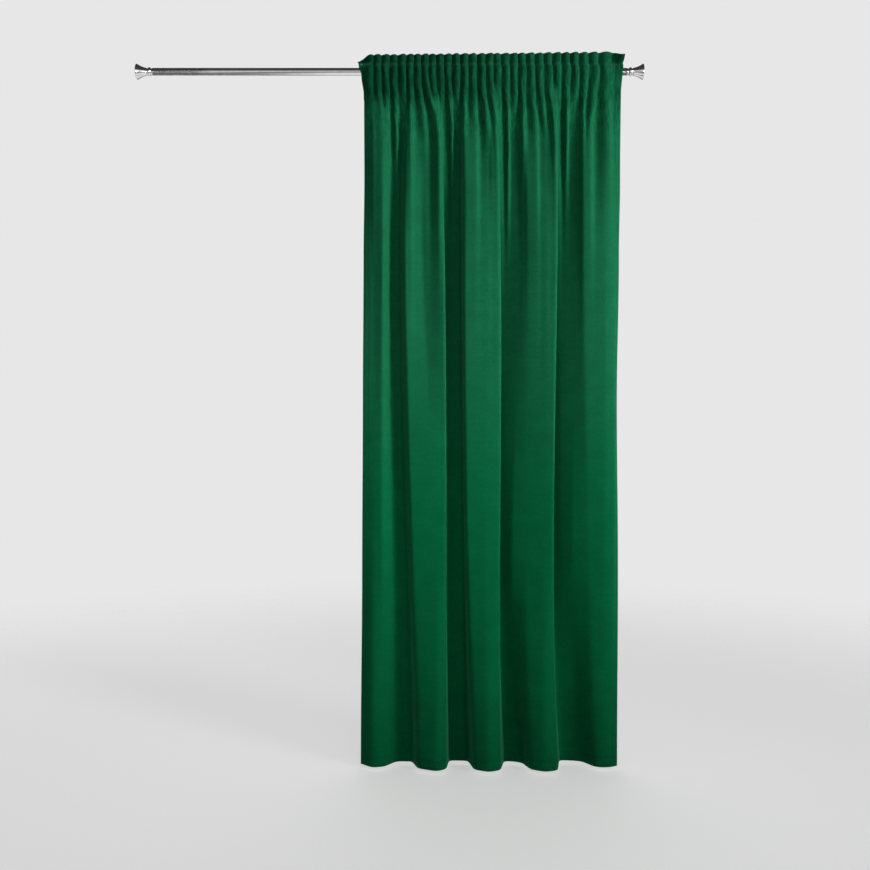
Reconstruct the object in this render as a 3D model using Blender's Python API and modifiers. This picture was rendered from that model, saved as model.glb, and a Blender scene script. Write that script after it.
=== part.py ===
"""Velvet drape gathered on a round curtain rod by a rod pocket that leaves a standing frill.

Metres, +Z up. The origin is on the rod's axis, halfway along the tube; the rod runs along X and the
drape's face looks towards -Y, into the room.
"""

import math

import bmesh
import bpy
import numpy as np

# Rod and finials
ROD_LENGTH = 1.800
ROD_RADIUS = 0.0140
ROD_WALL = 0.0010
PART_GAP = 0.0003
TURNED_STEPS = 32

# Finial: a plug in the tube, a beaded collar and a flared cone, with heights from the tube's end
PLUG_LENGTH = 0.0300
PLUG_CHAMFER = 0.0020
NECK_RADIUS = 0.0120
COLLAR_FOOT = 0.0070
COLLAR_TOP = 0.0180
COLLAR_RADIUS = 0.0165
COLLAR_EDGE_RADIUS = 0.0140
COLLAR_BAND = 0.0025
CONE_FOOT = 0.0235
CONE_FOOT_RADIUS = 0.0145
CONE_TOP = 0.0585
CONE_TOP_RADIUS = 0.0290
CONE_HOLLOWNESS = 0.65
RIM = 0.0610
RIM_CHAMFER = 0.0010
DISH = 0.0030
DISH_RADIUS = 0.0255
DISH_FLOOR_RADIUS = 0.0180

# Cloth: one sheet, with a frill and a rod pocket folded from its top end
CUT_WIDTH = 1.40
CLOTH_THICKNESS = 0.0015
TOP_FOLD_LEFT = 0.0630
TOP_FOLD_RIGHT = 0.0740
LEFT_CORNER_DROP = 0.0150
RIGHT_CORNER_DROP = 0.0190
CORNER_WIDTH = 0.0350
UPPER_STITCH = 0.0420
LOWER_STITCH = -0.0860
TURNED_EDGE = -0.0940
PRESSED_END = -0.1000
HEM = -2.6340
POCKET_DEPTH = 0.0290
STITCHED_SPREAD = 0.0026
FRILL_SPREAD = 0.0042

# The cloth's two side edges: height, places across, and how far each stands towards the room
SIDE_EDGES = (
    # height, left,  right,  left depth, right depth
    (0.068, -0.124, 0.884, -0.032, 0.040),
    (0.042, -0.121, 0.883, -0.019, 0.034),
    (0.022, -0.118, 0.881, -0.006, 0.014),
    (-0.025, -0.106, 0.878, -0.004, 0.005),
    (-0.082, -0.099, 0.877, -0.013, 0.003),
    (-0.400, -0.099, 0.875, -0.030, -0.004),
    (-0.700, -0.102, 0.871, -0.028, -0.010),
    (-1.250, -0.104, 0.863, -0.018, -0.012),
    (-1.900, -0.107, 0.867, -0.022, -0.010),
    (-2.634, -0.112, 0.862, -0.022, 0.000),
)

# Corners of the broad folds, from left to right: places across at the four table heights, and how far
# they stand towards the room at the three heights of FOLD_LEVELS
TABLE_HEIGHTS = (-0.145, -0.677, -1.626, -2.594)
CORNERS = (
    # top,   upper,  middle, hem,    upper,  middle, hem depth
    (-0.072, -0.061, -0.061, -0.066, -0.008, 0.000, 0.024),
    (-0.014, -0.022, -0.027, -0.020, 0.012, 0.010, 0.012),
    (-0.001, 0.000, 0.010, 0.022, -0.050, -0.038, -0.049),
    (0.040, 0.036, 0.056, 0.083, -0.046, -0.034, -0.049),
    (0.060, 0.056, 0.077, 0.106, 0.016, 0.022, 0.032),
    (0.118, 0.122, 0.167, 0.178, 0.002, 0.034, 0.066),
    (0.194, 0.207, 0.214, 0.213, 0.042, 0.038, 0.040),
    (0.196, 0.204, 0.211, 0.225, -0.052, -0.046, -0.060),
    (0.266, 0.270, 0.278, 0.298, -0.024, -0.018, -0.056),
    (0.281, 0.280, 0.288, 0.318, 0.034, 0.034, 0.046),
    (0.334, 0.351, 0.362, 0.372, 0.040, 0.044, 0.074),
    (0.403, 0.418, 0.417, 0.416, 0.044, 0.046, 0.052),
    (0.404, 0.413, 0.412, 0.436, -0.062, -0.062, -0.052),
    (0.436, 0.446, 0.440, 0.464, -0.040, -0.038, -0.050),
    (0.494, 0.508, 0.468, 0.504, 0.000, -0.014, -0.034),
    (0.508, 0.524, 0.515, 0.530, 0.014, 0.006, 0.044),
    (0.569, 0.582, 0.585, 0.582, 0.032, 0.032, 0.072),
    (0.632, 0.632, 0.619, 0.630, 0.044, 0.042, 0.056),
    (0.634, 0.628, 0.614, 0.650, -0.060, -0.062, -0.064),
    (0.662, 0.660, 0.650, 0.690, -0.036, -0.028, -0.060),
    (0.702, 0.714, 0.694, 0.734, 0.000, 0.002, -0.050),
    (0.724, 0.732, 0.746, 0.777, 0.016, 0.026, 0.016),
    (0.797, 0.812, 0.810, 0.805, 0.030, 0.040, 0.022),
    (0.848, 0.848, 0.844, 0.838, 0.024, 0.036, 0.018),
)
# Rows: height, then the share of the upper, middle and hem depths that the folds have there
FOLD_LEVELS = (
    (-0.750, 1.0, 0.0, 0.0),
    (-1.500, 0.0, 1.0, 0.0),
    (-1.700, 0.0, 1.0, 0.0),
    (-2.600, 0.0, 0.0, 1.0),
)
CORNER_RADIUS = 0.0050
HEM_CORNER_RADIUS = 0.0130
FOLD_START = -0.060
FOLD_GROWTH_DEPTH = 0.36
FOLD_GROWTH_POWER = 1.5

# Gathers, from left to right: place of the ridge at the heading, how far it moves across on its way
# down, how far down it lasts, its height as a share of the gathers' height, and how far down the
# groove to its right lasts, with that groove's depth as a share
GATHERS = (
    # place, moves, lasts, height, groove lasts, groove depth
    (-0.072, -0.004, 0.07, 1.0, 0.10, 0.7),
    (-0.042, 0.016, 0.60, 1.1, 0.12, 0.8),
    (-0.012, 0.006, 0.45, 0.9, 1.50, 1.0),
    (0.019, 0.008, 0.40, 0.6, 1.00, 1.0),
    (0.053, 0.006, 0.08, 1.1, 0.12, 1.0),
    (0.080, 0.000, 0.60, 1.0, 0.38, 0.9),
    (0.110, 0.027, 0.24, 0.9, 0.90, 1.0),
    (0.137, 0.053, 0.90, 1.1, 0.08, 0.8),
    (0.165, 0.036, 0.12, 0.8, 1.00, 1.0),
    (0.196, 0.018, 0.09, 0.8, 1.00, 1.0),
    (0.224, 0.014, 0.45, 0.9, 1.00, 1.0),
    (0.256, 0.005, 0.09, 1.2, 1.00, 1.0),
    (0.288, -0.008, 0.42, 1.0, 0.18, 0.8),
    (0.319, 0.008, 0.80, 1.0, 0.46, 1.3),
    (0.353, 0.022, 0.24, 0.9, 0.20, 0.7),
    (0.383, 0.026, 0.90, 1.1, 0.06, 0.8),
    (0.410, 0.020, 0.08, 0.8, 1.00, 1.0),
    (0.444, 0.008, 0.50, 0.8, 1.00, 1.0),
    (0.475, 0.007, 0.11, 0.8, 1.00, 1.0),
    (0.505, 0.001, 0.42, 0.9, 0.25, 0.8),
    (0.539, 0.018, 0.70, 1.0, 0.40, 1.1),
    (0.571, 0.024, 0.20, 0.7, 0.30, 0.7),
    (0.606, 0.021, 0.90, 1.1, 0.06, 0.8),
    (0.638, 0.012, 0.08, 1.2, 1.00, 1.0),
    (0.674, -0.001, 0.40, 1.0, 1.00, 1.0),
    (0.706, 0.006, 0.08, 1.2, 1.00, 1.0),
    (0.740, -0.008, 0.80, 0.9, 0.18, 0.8),
    (0.780, -0.024, 0.80, 1.1, 0.65, 0.9),
    (0.818, 0.010, 0.60, 1.0, 0.60, 0.5),
)
GATHER_HEIGHT = 0.0078
GATHER_SWELL = 0.0060
SWELL_DEPTH = 0.09
GATHER_FADE_DEPTH = 0.60
GATHER_FADE_POWER = 2.2
GATHER_DRIFT_DEPTH = 0.15
GATHER_DRIFT_POWER = 2.2
GATHER_WOBBLE = 0.0022
WOBBLE_LENGTH = 0.130
WOBBLE_STEP = 2.4
WOBBLE_DEPTH = 0.25
LAST_SHARPNESS = 5.0
EDGE_LEVEL = -0.5
SETTLING_SWEEPS = 8
GROOVE_SHARE = 0.30
FULL_GAP = 0.024
FLAT_END = 0.850

# Rows of the sheet, from the turned edge at the back, over the top fold and down to the hem. The
# frill's rows are shares of the way from the upper stitch to the top fold.
POCKET_ROWS = (LOWER_STITCH, -0.042, -0.012, 0.012, 0.024, UPPER_STITCH)
FRILL_ROWS = (0.9,)
FACE_ROWS = (PRESSED_END, -0.130, -0.180)
FOLD_ROWS = (-0.25, -0.34, -0.46, -0.64, -0.88, -1.14, -1.42, -1.70, -1.98, -2.24, -2.46, HEM)
STEPS_PER_GATHER = 4

# Below the gathers, the sheet's points gather at the folds' bends
BENDS_START = -0.20
BENDS_FULL = -0.60
BEND_SHARE = 1.6

SECTION_POINTS = 3200


def smooth_between(rows, height):
    """Values of a table's row at a height, eased between the rows, which run from high to low."""
    heights = [row[0] for row in rows]
    values = np.array([row[1:] for row in rows])
    if height >= heights[0]:
        return values[0]
    if height <= heights[-1]:
        return values[-1]
    below = next(i for i, level in enumerate(heights) if level <= height)
    share = (heights[below - 1] - height) / (heights[below - 1] - heights[below])
    eased = share * share * (3 - 2 * share)
    return values[below - 1] + (values[below] - values[below - 1]) * eased


def fold_growth(height):
    """Share of their full depth that the broad folds have at a height."""
    below = max(0.0, FOLD_START - height)
    return 1 - math.exp(-((below / FOLD_GROWTH_DEPTH) ** FOLD_GROWTH_POWER))


def corner_line(height):
    """The broad folds' corners at a height, between the two side edges: places across and depths."""
    table = np.array(CORNERS)
    level = min(max(height, TABLE_HEIGHTS[-1]), TABLE_HEIGHTS[0])
    places = np.polyval(np.polyfit(TABLE_HEIGHTS, table[:, :4].T, 3), level)
    depths = table[:, 4:] @ smooth_between(FOLD_LEVELS, height)
    left, right, left_depth, right_depth = smooth_between(SIDE_EDGES, height)
    corners = zip(places, depths * fold_growth(height))
    return np.array([(left, left_depth), *corners, (right, right_depth)])


def lengths_along(line):
    steps = np.hypot(*np.diff(line, axis=0).T)
    return np.concatenate([[0], np.cumsum(steps)])


def evenly(line, count):
    """Points evenly spaced along a line."""
    lengths = lengths_along(line)
    marks = np.linspace(0, lengths[-1], count)
    return np.column_stack([np.interp(marks, lengths, column) for column in line.T])


def rounded(line, radius):
    """An evenly spaced line with its corners rounded off, and its ends kept."""
    spacing = math.dist(line[0], line[1])
    reach = math.ceil(3 * radius / spacing)
    offsets = np.arange(-reach, reach + 1) * spacing
    weights = np.exp(-0.5 * (offsets / radius) ** 2)
    weights /= weights.sum()
    before = 2 * line[0] - line[reach:0:-1]
    after = 2 * line[-1] - line[-2 : -reach - 2 : -1]
    padded = np.vstack([before, line, after])
    return np.column_stack([np.convolve(column, weights, "valid") for column in padded.T])


def gather_relief(height):
    """Height of the gathers' ridges: it swells as the gathers merge, and then fades."""
    below = max(0.0, FOLD_START - height)
    swell = GATHER_SWELL * (1 - math.exp(-((below / SWELL_DEPTH) ** 2)))
    return (GATHER_HEIGHT + swell) * math.exp(-((below / GATHER_FADE_DEPTH) ** GATHER_FADE_POWER))


def gather_wobble(count, height):
    """How far each ridge strays across at a height, most of all at the heading."""
    turns = 2 * math.pi * height / WOBBLE_LENGTH + WOBBLE_STEP * np.arange(count)
    below = max(0.0, -height)
    return GATHER_WOBBLE * np.sin(turns) * math.exp(-((below / WOBBLE_DEPTH) ** 2))


def settled(levels, kept):
    """Levels of the ridges and grooves in turn, where what isn't kept settles level with both sides."""
    now = levels.copy()
    for _ in range(SETTLING_SWEEPS):
        beside = (now[:-2] + now[2:]) / 2
        now[1:-1] = beside + (levels[1:-1] - beside) * kept[1:-1]
    return now


def gather_wave(places, height):
    """Depth of the gathers at places across: ridges and grooves in turn, with flat cloth at the ends."""
    starts, drifts, lasts, shares, groove_lasts, groove_shares = np.array(GATHERS).T
    below = max(0.0, -height)
    moved = 1 - math.exp(-((below / GATHER_DRIFT_DEPTH) ** GATHER_DRIFT_POWER))
    ridges = starts + drifts * moved + gather_wobble(len(starts), height)
    gaps = np.diff(ridges, append=FLAT_END)
    marks = np.empty(2 * len(ridges) + 1)
    levels = np.empty_like(marks)
    kept = np.empty_like(marks)
    marks[0] = ridges[0] - gaps[0]
    marks[1::2] = ridges
    marks[2::2] = ridges + GROOVE_SHARE * gaps
    levels[0] = EDGE_LEVEL
    levels[1::2] = shares
    levels[2::2] = -groove_shares * np.minimum(1, gaps / FULL_GAP)
    kept[0] = 1.0
    kept[1::2] = 1 / (1 + (below / lasts) ** LAST_SHARPNESS)
    kept[2::2] = 1 / (1 + (below / groove_lasts) ** LAST_SHARPNESS)
    levels = settled(levels, kept) * gather_relief(height)
    marks[-1] = FLAT_END
    spot = np.interp(places, marks, np.arange(len(marks)))
    before = np.minimum(spot.astype(int), len(marks) - 2)
    eased = (1 - np.cos(math.pi * (spot - before))) / 2
    return levels[before] + (levels[before + 1] - levels[before]) * eased


def section(height):
    """The cloth's line across at a height: places and depths towards the room."""
    opened = smooth_between(FOLD_LEVELS, height)[-1]
    radius = CORNER_RADIUS + (HEM_CORNER_RADIUS - CORNER_RADIUS) * opened
    line = rounded(evenly(corner_line(height), SECTION_POINTS), radius)
    line[:, 1] += gather_wave(line[:, 0], height)
    return line


def sheet_row(height, side, spread, bulge, shares):
    """One row of the sheet: the section at a height, moved to its layer of the heading."""
    line = section(height)
    lengths = lengths_along(line)
    slopes = np.gradient(line, lengths, axis=0)
    along = shares * lengths[-1]
    across, depth = (np.interp(along, lengths, column) for column in line.T)
    run, rise = (np.interp(along, lengths, column) for column in slopes.T)
    return np.column_stack(
        [
            across + side * spread * rise,
            -depth + side * (bulge + spread * run),
            np.full(len(shares), height),
        ]
    )


def pocket_bulge(height):
    """How far each layer of the pocket stands off the rod's axis."""
    end = UPPER_STITCH if height > 0 else LOWER_STITCH
    return POCKET_DEPTH * math.cos(math.pi / 2 * min(1.0, height / end)) ** 2


def top_fold(shares):
    """Height of the top fold across the cloth: it rises to the right, and its two corners drop."""
    left_drop = LEFT_CORNER_DROP * np.exp(-((shares * CUT_WIDTH / CORNER_WIDTH) ** 2))
    right_drop = RIGHT_CORNER_DROP * np.exp(-(((1 - shares) * CUT_WIDTH / CORNER_WIDTH) ** 2))
    return TOP_FOLD_LEFT + (TOP_FOLD_RIGHT - TOP_FOLD_LEFT) * shares - left_drop - right_drop


def frill_row(share, side, shares):
    """A row of the standing frill between the upper stitch and the top fold."""
    spread = side * (STITCHED_SPREAD + (FRILL_SPREAD - STITCHED_SPREAD) * share)
    level = UPPER_STITCH + (TOP_FOLD_LEFT - UPPER_STITCH) * share
    row = sheet_row(level, 1, spread, 0.0, shares)
    row[:, 2] = UPPER_STITCH + (top_fold(shares) - UPPER_STITCH) * share
    return row


def face_spread(height):
    """How far the face stands off the cloth's middle line: it clears the turned edge behind it."""
    return STITCHED_SPREAD if height >= PRESSED_END else 0.0


def gather_shares():
    """Columns at even steps between the gathers' ridges and grooves, as shares of the width."""
    line = section(LOWER_STITCH)
    starts = np.array(GATHERS)[:, 0]
    gaps = np.diff(starts, append=FLAT_END)
    marks = np.sort(np.concatenate([starts, starts + GROOVE_SHARE * gaps]))
    steps = np.arange(0, len(marks) - 1 + 2 / STEPS_PER_GATHER, 2 / STEPS_PER_GATHER)
    places = np.interp(steps, np.arange(len(marks)), marks)
    lengths = lengths_along(line)
    inner = np.interp(places, line[:, 0], lengths)
    return np.concatenate([[0], inner, [lengths[-1]]]) / lengths[-1]


def bend_shares(line, count):
    """Shares of a line's length for points that stand closer together where it bends."""
    lengths = lengths_along(line)
    run, rise = np.gradient(line, lengths, axis=0).T
    turns = np.abs(np.diff(np.unwrap(np.arctan2(rise, run))))
    weights = np.diff(lengths) / lengths[-1] + BEND_SHARE * turns / turns.sum()
    marks = np.concatenate([[0], np.cumsum(weights)])
    return np.interp(np.linspace(0, marks[-1], count), marks, lengths) / lengths[-1]


def fold_shares(height, shares):
    """Columns of a row below the gathers, moved from the gathers' columns to the folds' bends."""
    share = min(max((BENDS_START - height) / (BENDS_START - BENDS_FULL), 0.0), 1.0)
    moved = share * share * (3 - 2 * share)
    return shares + (bend_shares(section(height), len(shares)) - shares) * moved


def sheet_rows():
    """The heading's rows from the turned edge to the gathers' feet, and the sparser rows below."""
    dense = gather_shares()
    rows = [sheet_row(TURNED_EDGE, 1, STITCHED_SPREAD, 0.0, dense)]
    rows += [sheet_row(z, 1, STITCHED_SPREAD, pocket_bulge(z), dense) for z in POCKET_ROWS]
    rows += [frill_row(share, 1, dense) for share in FRILL_ROWS]
    rows.append(frill_row(1.0, 0, dense))
    rows += [frill_row(share, -1, dense) for share in reversed(FRILL_ROWS)]
    rows += [sheet_row(z, -1, STITCHED_SPREAD, pocket_bulge(z), dense) for z in reversed(POCKET_ROWS)]
    rows += [sheet_row(z, -1, face_spread(z), 0.0, dense) for z in FACE_ROWS]
    sparse = dense[::2]
    return rows, [sheet_row(z, -1, 0.0, 0.0, fold_shares(z, sparse)) for z in FOLD_ROWS]


def join_rows(mesh, upper, lower):
    """Faces between two rows with as many points each."""
    for i in range(len(upper) - 1):
        mesh.faces.new((upper[i], lower[i], lower[i + 1], upper[i + 1]))


def join_to_sparse(mesh, dense, sparse):
    """Faces from a dense row to one with every other point."""
    for i in range(len(sparse) - 1):
        left, middle, right = dense[2 * i : 2 * i + 3]
        mesh.faces.new((left, sparse[i], middle))
        mesh.faces.new((middle, sparse[i], sparse[i + 1]))
        mesh.faces.new((middle, sparse[i + 1], right))


def velvet_panel(collection):
    """The drape: one continuous sheet, lofted between unlike sections and then thickened."""
    dense, sparse = sheet_rows()
    mesh = bmesh.new()
    dense_points = [[mesh.verts.new(point) for point in row] for row in dense]
    sparse_points = [[mesh.verts.new(point) for point in row] for row in sparse]
    for upper, lower in zip(dense_points, dense_points[1:]):
        join_rows(mesh, upper, lower)
    join_to_sparse(mesh, dense_points[-1], sparse_points[0])
    for upper, lower in zip(sparse_points, sparse_points[1:]):
        join_rows(mesh, upper, lower)
    bmesh.ops.triangulate(mesh, faces=mesh.faces, quad_method="SHORT_EDGE")
    data = bpy.data.meshes.new("velvet_panel")
    mesh.to_mesh(data)
    mesh.free()
    data.shade_smooth()
    panel = bpy.data.objects.new("velvet_panel", data)
    collection.objects.link(panel)
    solid = panel.modifiers.new("thickness", "SOLIDIFY")
    solid.thickness = CLOTH_THICKNESS
    solid.offset = 0.0
    return panel


def turned(name, profile, collection, closed=False):
    """A shape turned about Z from a profile at +X that runs down its outer side."""
    data = bpy.data.meshes.new(name)
    edges = [(i, i + 1) for i in range(len(profile) - 1)]
    if closed:
        edges.append((len(profile) - 1, 0))
    data.from_pydata([(radius, 0, height) for radius, height in profile], edges, [])
    shape = bpy.data.objects.new(name, data)
    collection.objects.link(shape)
    screw = shape.modifiers.new("turn", "SCREW")
    screw.axis = "Z"
    screw.steps = TURNED_STEPS
    screw.render_steps = TURNED_STEPS
    screw.use_smooth_shade = True
    screw.use_merge_vertices = True
    screw.merge_threshold = 0.00001
    return shape


def rod_tube(collection):
    """The thin-walled tube, open at both ends."""
    inner = ROD_RADIUS - ROD_WALL
    half = ROD_LENGTH / 2
    profile = [(ROD_RADIUS, half), (ROD_RADIUS, -half), (inner, -half), (inner, half)]
    tube = turned("rod_tube", profile, collection, closed=True)
    tube.rotation_euler.y = math.pi / 2
    return tube


def cone_radius(share):
    """Radius of the flared cone at a share of the way from its foot to its mouth."""
    flare = (1 - CONE_HOLLOWNESS) * share + CONE_HOLLOWNESS * share * share
    return CONE_FOOT_RADIUS + (CONE_TOP_RADIUS - CONE_FOOT_RADIUS) * flare


def finial_profile():
    """Half-outline of a finial, from the middle of its dished end face down to its plug."""
    plug_radius = ROD_RADIUS - ROD_WALL - PART_GAP
    cone = [
        (cone_radius(share), CONE_FOOT + (CONE_TOP - CONE_FOOT) * share)
        for share in (1.0, 0.8, 0.6, 0.4, 0.2, 0.0)
    ]
    collar_middle = (COLLAR_TOP + COLLAR_FOOT) / 2
    return [
        (0.0, RIM - DISH),
        (DISH_FLOOR_RADIUS, RIM - DISH),
        (DISH_RADIUS, RIM),
        (CONE_TOP_RADIUS - RIM_CHAMFER, RIM),
        (CONE_TOP_RADIUS, RIM - RIM_CHAMFER),
        *cone,
        (NECK_RADIUS, CONE_FOOT),
        (NECK_RADIUS, COLLAR_TOP),
        (COLLAR_EDGE_RADIUS, COLLAR_TOP),
        (COLLAR_RADIUS, collar_middle + COLLAR_BAND),
        (COLLAR_RADIUS, collar_middle - COLLAR_BAND),
        (COLLAR_EDGE_RADIUS, COLLAR_FOOT),
        (NECK_RADIUS, COLLAR_FOOT),
        (NECK_RADIUS, PART_GAP),
        (plug_radius, PART_GAP),
        (plug_radius, PLUG_CHAMFER - PLUG_LENGTH),
        (plug_radius - PLUG_CHAMFER, -PLUG_LENGTH),
        (0.0, -PLUG_LENGTH),
    ]


def finial(name, side, collection):
    """A flared finial that plugs into one end of the tube."""
    shape = turned(name, finial_profile(), collection)
    shape.location.x = side * ROD_LENGTH / 2
    shape.rotation_euler.y = side * math.pi / 2
    return shape


def material(name, colour, roughness, metallic):
    """A plain Principled finish."""
    finish = bpy.data.materials.new(name)
    finish.use_nodes = True
    shader = finish.node_tree.nodes["Principled BSDF"]
    shader.inputs["Base Color"].default_value = (*colour, 1)
    shader.inputs["Roughness"].default_value = roughness
    shader.inputs["Metallic"].default_value = metallic
    return finish


def clear_scene():
    for thing in list(bpy.data.objects):
        bpy.data.objects.remove(thing)


def main():
    clear_scene()
    collection = bpy.data.collections.new("velvet_drape_on_curtain_rod")
    bpy.context.scene.collection.children.link(collection)
    drape = velvet_panel(collection)
    drape.data.materials.append(material("green_velvet", (0.006, 0.095, 0.040), 0.85, 0.0))
    pieces = (
        rod_tube(collection),
        finial("finial_left", -1, collection),
        finial("finial_right", 1, collection),
    )
    for piece in pieces:
        piece.data.materials.append(
            material(piece.name + "_chrome", (0.62, 0.63, 0.64), 0.12, 1.0)
        )


main()
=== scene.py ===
"""Looks of the velvet drape on its curtain rod, built around its solids.

Metres, +Z up, the same frame as the solids: the origin is on the rod's axis, halfway along the tube,
and the drape's face looks towards -Y.
"""

import math

import bmesh
import bpy
import numpy as np
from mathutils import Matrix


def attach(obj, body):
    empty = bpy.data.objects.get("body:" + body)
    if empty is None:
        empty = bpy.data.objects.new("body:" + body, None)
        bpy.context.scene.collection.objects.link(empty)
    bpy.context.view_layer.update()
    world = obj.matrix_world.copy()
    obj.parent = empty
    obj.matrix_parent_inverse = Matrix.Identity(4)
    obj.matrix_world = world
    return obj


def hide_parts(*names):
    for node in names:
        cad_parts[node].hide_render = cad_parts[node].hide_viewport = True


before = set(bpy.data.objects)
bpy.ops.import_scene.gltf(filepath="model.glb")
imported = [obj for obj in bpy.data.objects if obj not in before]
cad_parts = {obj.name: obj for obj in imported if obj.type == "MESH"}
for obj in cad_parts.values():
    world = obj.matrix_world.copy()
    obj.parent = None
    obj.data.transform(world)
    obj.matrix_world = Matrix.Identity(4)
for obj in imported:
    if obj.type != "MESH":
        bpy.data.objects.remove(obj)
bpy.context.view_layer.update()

# ---------------------------------------------------------------- sizes, as in the solids

ROD_LENGTH = 1.800
ROD_RADIUS = 0.0140
ROD_WALL = 0.0010
PART_GAP = 0.0003

# Finial: a plug in the tube, a beaded collar and a flared cone, with heights from the tube's end
PLUG_LENGTH = 0.0300
PLUG_CHAMFER = 0.0020
NECK_RADIUS = 0.0120
COLLAR_FOOT = 0.0070
COLLAR_TOP = 0.0180
COLLAR_RADIUS = 0.0165
CONE_FOOT = 0.0235
CONE_FOOT_RADIUS = 0.0145
CONE_TOP = 0.0585
CONE_TOP_RADIUS = 0.0290
CONE_HOLLOWNESS = 0.65
RIM = 0.0610
RIM_CHAMFER = 0.0010
DISH = 0.0030
DISH_RADIUS = 0.0255
DISH_FLOOR_RADIUS = 0.0180

CLOTH_THICKNESS = 0.0015
TOP_FOLD_LEFT = 0.0630
TOP_FOLD_RIGHT = 0.0740
LEFT_CORNER_DROP = 0.0150
RIGHT_CORNER_DROP = 0.0190
CORNER_WIDTH = 0.0350
UPPER_STITCH = 0.0420
LOWER_STITCH = -0.0860
TURNED_EDGE = -0.0940
PRESSED_END = -0.1000
HEM = -2.6340
POCKET_DEPTH = 0.0290
STITCHED_SPREAD = 0.0026
FRILL_SPREAD = 0.0042

CUT_WIDTH = 1.40
SIDE_HEM = 0.0225
FOOT_HEM = 0.0350

# The cloth's two side edges: height, places across, and how far each stands towards the room
SIDE_EDGES = (
    # height, left,  right,  left depth, right depth
    (0.068, -0.124, 0.884, -0.032, 0.040),
    (0.042, -0.121, 0.883, -0.019, 0.034),
    (0.022, -0.118, 0.881, -0.006, 0.014),
    (-0.025, -0.106, 0.878, -0.004, 0.005),
    (-0.082, -0.099, 0.877, -0.013, 0.003),
    (-0.400, -0.099, 0.875, -0.030, -0.004),
    (-0.700, -0.102, 0.871, -0.028, -0.010),
    (-1.250, -0.104, 0.863, -0.018, -0.012),
    (-1.900, -0.107, 0.867, -0.022, -0.010),
    (-2.634, -0.112, 0.862, -0.022, 0.000),
)

# Corners of the broad folds, from left to right: places across at the four table heights, and how far
# they stand towards the room at the three heights of FOLD_LEVELS
TABLE_HEIGHTS = (-0.145, -0.677, -1.626, -2.594)
CORNERS = (
    # top,   upper,  middle, hem,    upper,  middle, hem depth
    (-0.072, -0.061, -0.061, -0.066, -0.008, 0.000, 0.024),
    (-0.014, -0.022, -0.027, -0.020, 0.012, 0.010, 0.012),
    (-0.001, 0.000, 0.010, 0.022, -0.050, -0.038, -0.049),
    (0.040, 0.036, 0.056, 0.083, -0.046, -0.034, -0.049),
    (0.060, 0.056, 0.077, 0.106, 0.016, 0.022, 0.032),
    (0.118, 0.122, 0.167, 0.178, 0.002, 0.034, 0.066),
    (0.194, 0.207, 0.214, 0.213, 0.042, 0.038, 0.040),
    (0.196, 0.204, 0.211, 0.225, -0.052, -0.046, -0.060),
    (0.266, 0.270, 0.278, 0.298, -0.024, -0.018, -0.056),
    (0.281, 0.280, 0.288, 0.318, 0.034, 0.034, 0.046),
    (0.334, 0.351, 0.362, 0.372, 0.040, 0.044, 0.074),
    (0.403, 0.418, 0.417, 0.416, 0.044, 0.046, 0.052),
    (0.404, 0.413, 0.412, 0.436, -0.062, -0.062, -0.052),
    (0.436, 0.446, 0.440, 0.464, -0.040, -0.038, -0.050),
    (0.494, 0.508, 0.468, 0.504, 0.000, -0.014, -0.034),
    (0.508, 0.524, 0.515, 0.530, 0.014, 0.006, 0.044),
    (0.569, 0.582, 0.585, 0.582, 0.032, 0.032, 0.072),
    (0.632, 0.632, 0.619, 0.630, 0.044, 0.042, 0.056),
    (0.634, 0.628, 0.614, 0.650, -0.060, -0.062, -0.064),
    (0.662, 0.660, 0.650, 0.690, -0.036, -0.028, -0.060),
    (0.702, 0.714, 0.694, 0.734, 0.000, 0.002, -0.050),
    (0.724, 0.732, 0.746, 0.777, 0.016, 0.026, 0.016),
    (0.797, 0.812, 0.810, 0.805, 0.030, 0.040, 0.022),
    (0.848, 0.848, 0.844, 0.838, 0.024, 0.036, 0.018),
)
# Rows: height, then the share of the upper, middle and hem depths that the folds have there
FOLD_LEVELS = (
    (-0.750, 1.0, 0.0, 0.0),
    (-1.500, 0.0, 1.0, 0.0),
    (-1.700, 0.0, 1.0, 0.0),
    (-2.600, 0.0, 0.0, 1.0),
)
CORNER_RADIUS = 0.0050
HEM_CORNER_RADIUS = 0.0130
FOLD_START = -0.060
FOLD_GROWTH_DEPTH = 0.36
FOLD_GROWTH_POWER = 1.5

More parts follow.
